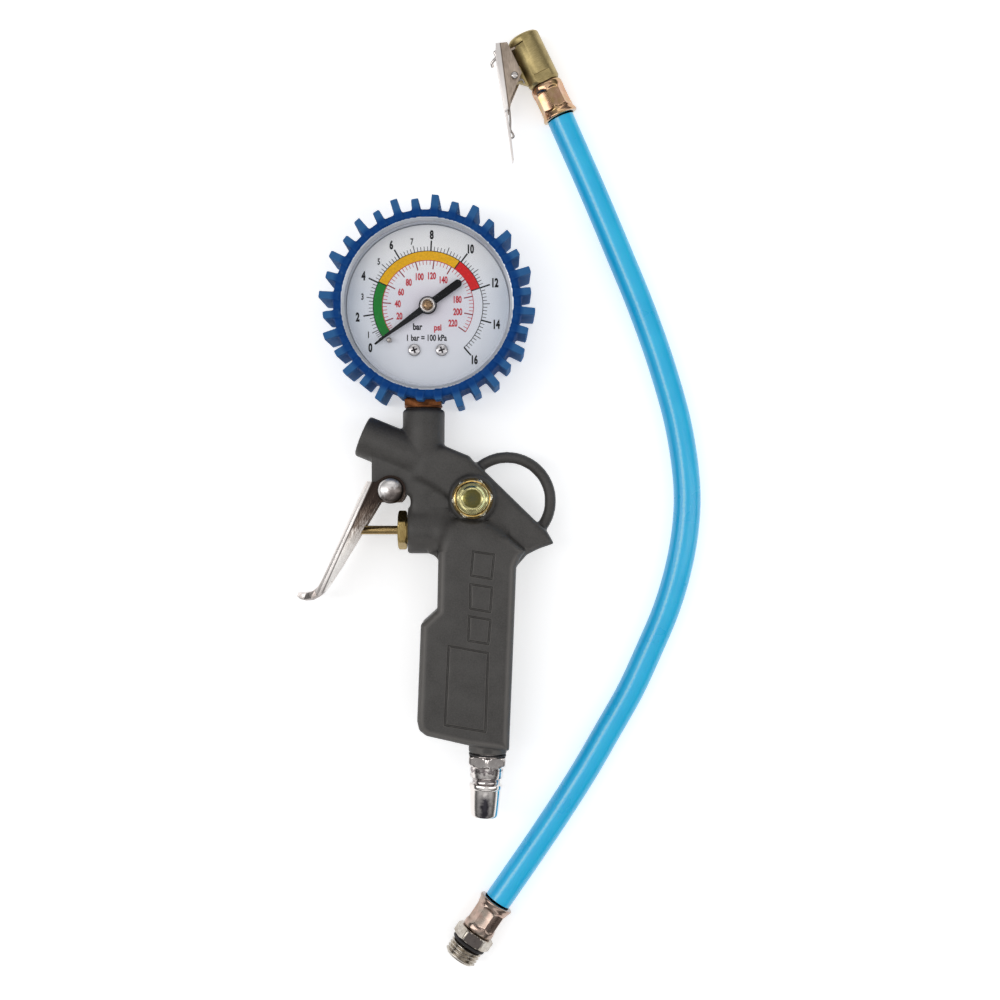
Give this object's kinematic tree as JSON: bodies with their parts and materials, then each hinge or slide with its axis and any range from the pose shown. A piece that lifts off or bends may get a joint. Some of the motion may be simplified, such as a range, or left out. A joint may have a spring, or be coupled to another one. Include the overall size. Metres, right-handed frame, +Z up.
{
  "type": "portable tire inflator",
  "caption": "Pistol-grip air gun with a dial pressure gauge in a toothed rubber boot, and a filler hose with a clip-on chuck and a threaded end.",
  "frame": {"origin": "under the middle of the gun's outline, on the surface it lies on, with the filler hose left out", "axes": "+X from the trigger towards the hose, +Y from the air inlet to the gauge, +Z up off the surface"},
  "size_m": [0.1551, 0.3631, 0.0322],
  "materials": {
    "cast": "matte dark grey powder coat on a casting",
    "boot": "matte blue moulded rubber",
    "hose": "glossy cyan blue hose",
    "chrome": "nickel or chrome plate",
    "steel": "plain bright steel",
    "gold": "bright yellow plated",
    "brass": "dull turned brass",
    "copper": "dark copper-brown brass",
    "ferrule": "bright copper-tinted crimped shell",
    "dial": "pale printed sheet",
    "black": "satin black",
    "rubber": "black rubber",
    "clear": "clear window"
  },
  "bodies": {
    "gun": {"gun_body": "cast", "plug_washer": "gold", "hex_plug": "gold", "inlet_plug": "chrome", "inlet_seal": "rubber", "gland_nut": "brass", "gland_seal": "rubber", "valve_seat": "brass", "valve_spring": "steel", "trigger_pin": "chrome", "pin_clip": "steel", "gauge_boot": "boot", "gauge_case": "steel", "gauge_window": "clear", "gauge_bezel": "chrome", "gauge_stem": "copper", "stem_washer": "rubber", "bourdon_tube": "brass", "tube_tip": "brass", "movement_plate_lower": "brass", "movement_plate_upper": "brass", "movement_pillar_left": "steel", "movement_pillar_right": "steel", "hairspring": "steel", "dial_plate": "dial", "dial_screw_left": "chrome", "dial_screw_right": "chrome", "pointer_stop": "steel"},
    "trigger": {"trigger_lever": "chrome"},
    "valve_rod": {"push_rod": "brass", "poppet_seal": "rubber", "valve_poppet": "brass"},
    "sector": {"sector_gear": "brass", "tip_link": "steel"},
    "needle": {"pointer": "black", "pointer_cap": "brass", "pinion_spindle": "steel"},
    "filler_hose": {"hose": "hose", "chuck_ferrule": "ferrule", "thread_ferrule": "ferrule", "hose_connector": "chrome", "connector_o_ring": "rubber", "chuck_body": "brass", "chuck_seal": "rubber", "chuck_depressor": "brass", "chuck_lever_pin": "steel", "chuck_spring": "steel"},
    "chuck_clip": {"chuck_lever": "steel"}
  },
  "joints": [
    {"name": "trigger_squeeze", "type": "hinge", "parent": "gun", "child": "trigger", "pos_m": [-0.0138, 0.00745, 0.013], "axis": [0, 0, 1], "range_deg": [0, 14], "stiffness_Nm_per_rad": 1.2, "springref_deg": -8.59},
    {"name": "valve_travel", "type": "slide", "parent": "gun", "child": "valve_rod", "axis": [1, 0, 0], "range_m": [0, 0.0048], "deforming": ["valve_spring"]},
    {"name": "sector_swing", "type": "hinge", "parent": "gun", "child": "sector", "pos_m": [0.01005, 0.0679, 0.013], "axis": [0, 0, 1], "range_deg": [0, 33], "stiffness_Nm_per_rad": 0.002, "springref_deg": -2.86},
    {"name": "pointer_sweep", "type": "hinge", "parent": "gun", "child": "needle", "pos_m": [0.0005, 0.07745, 0.024], "axis": [0, 0, -1], "range_deg": [0, 264]},
    {"name": "hose_lift", "type": "slide", "parent": "gun", "child": "filler_hose", "axis": [0, 0, 1], "range_m": [0, 0.12]},
    {"name": "chuck_squeeze", "type": "hinge", "parent": "filler_hose", "child": "chuck_clip", "pos_m": [0.03341, 0.16742, 0.007], "axis": [0, 0, 1], "range_deg": [0, 7], "stiffness_Nm_per_rad": 0.6, "springref_deg": -5.73}
  ],
  "couplings": [
    {"joint": "valve_travel", "follows": "trigger_squeeze", "m_per_rad": 0.01934},
    {"joint": "pointer_sweep", "follows": "sector_swing", "ratio": 8}
  ]
}
